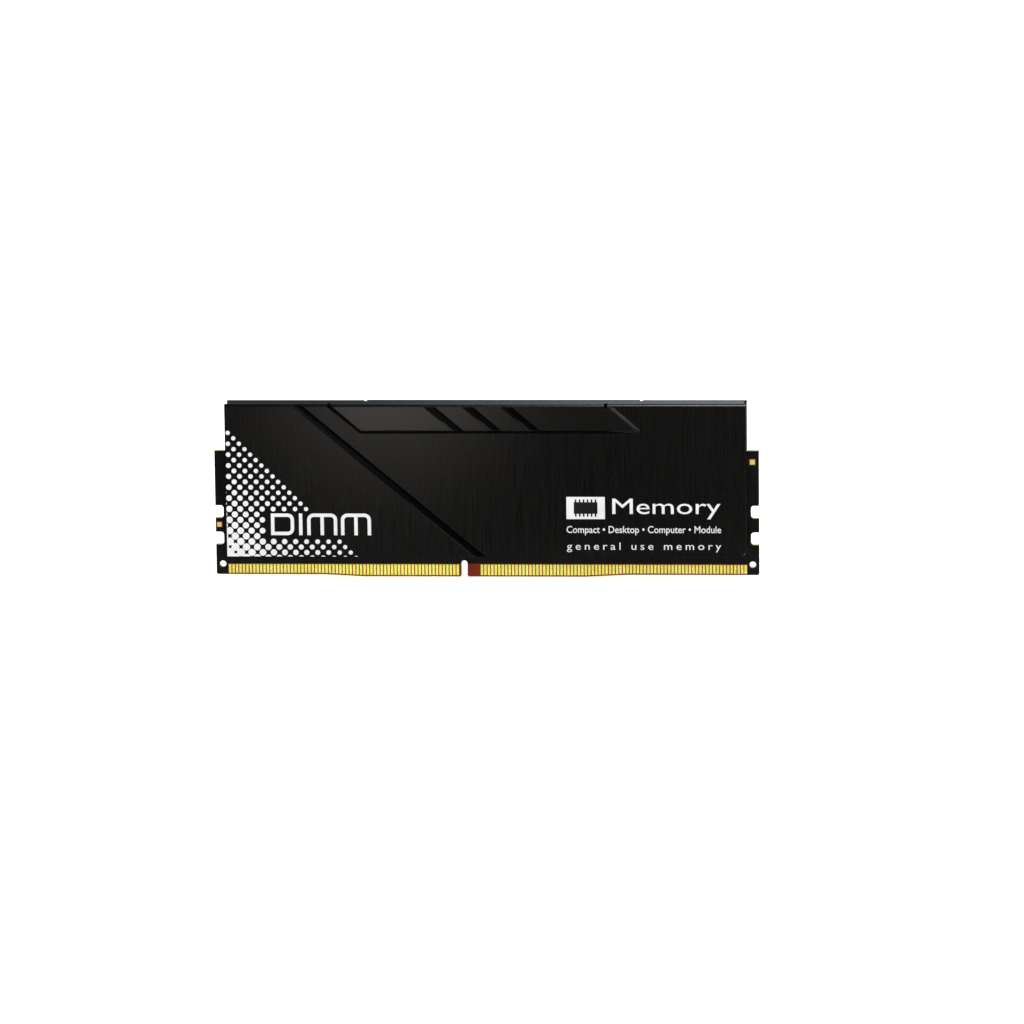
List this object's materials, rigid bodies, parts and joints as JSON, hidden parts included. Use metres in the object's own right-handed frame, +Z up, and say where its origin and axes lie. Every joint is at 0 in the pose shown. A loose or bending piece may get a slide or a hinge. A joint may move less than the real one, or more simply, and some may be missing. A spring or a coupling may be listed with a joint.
{
  "type": "ram module",
  "caption": "Desktop computer memory module: notched circuit board with gold edge contacts between two folded black aluminium heat spreaders with slanted pressed grooves.",
  "frame": {"origin": "middle of the contact edge, on its lowest stretch and halfway through the board's thickness", "axes": "+X along the board to the right as seen from the printed front, -Y out of the printed front, +Z up, away from the socket"},
  "size_m": [0.1334, 0.0082, 0.0432],
  "materials": {
    "anodised_aluminium": "black anodised, finely brushed upright",
    "laminate": "bare glass-fibre laminate, red-brown on its broad faces and pale along its cut edges",
    "solder_mask": "black, semi-gloss",
    "gold_plating": "smooth gold",
    "chip_package": "matt moulding compound",
    "solder": "satin solder",
    "ceramic": "fired ceramic",
    "resistor_body": "glazed",
    "thermal_pad": "soft, tacky",
    "white_print": "satin white ink and label film"
  },
  "bodies": {
    "root": {"capacitors_front": "ceramic", "capacitors_rear": "ceramic", "circuit_board": "laminate", "contacts_front_left": "gold_plating", "contacts_front_right": "gold_plating", "contacts_rear_left": "gold_plating", "contacts_rear_right": "gold_plating", "ground_pads": "gold_plating", "heat_spreader_front": "anodised_aluminium", "heat_spreader_rear": "anodised_aluminium", "identity_chip": "chip_package", "memory_chip_front_1": "chip_package", "memory_chip_front_2": "chip_package", "memory_chip_front_3": "chip_package", "memory_chip_front_4": "chip_package", "memory_chip_front_5": "chip_package", "memory_chip_front_6": "chip_package", "memory_chip_front_7": "chip_package", "memory_chip_front_8": "chip_package", "memory_chip_rear_1": "chip_package", "memory_chip_rear_2": "chip_package", "memory_chip_rear_3": "chip_package", "memory_chip_rear_4": "chip_package", "memory_chip_rear_5": "chip_package", "memory_chip_rear_6": "chip_package", "memory_chip_rear_7": "chip_package", "memory_chip_rear_8": "chip_package", "resistor_arrays_front": "resistor_body", "resistor_arrays_rear": "resistor_body", "solder_balls_front": "solder", "solder_balls_rear": "solder", "solder_mask_front": "solder_mask", "solder_mask_rear": "solder_mask", "specification_label": "white_print", "thermal_pad_front": "thermal_pad", "thermal_pad_rear": "thermal_pad"}
  },
  "joints": []
}
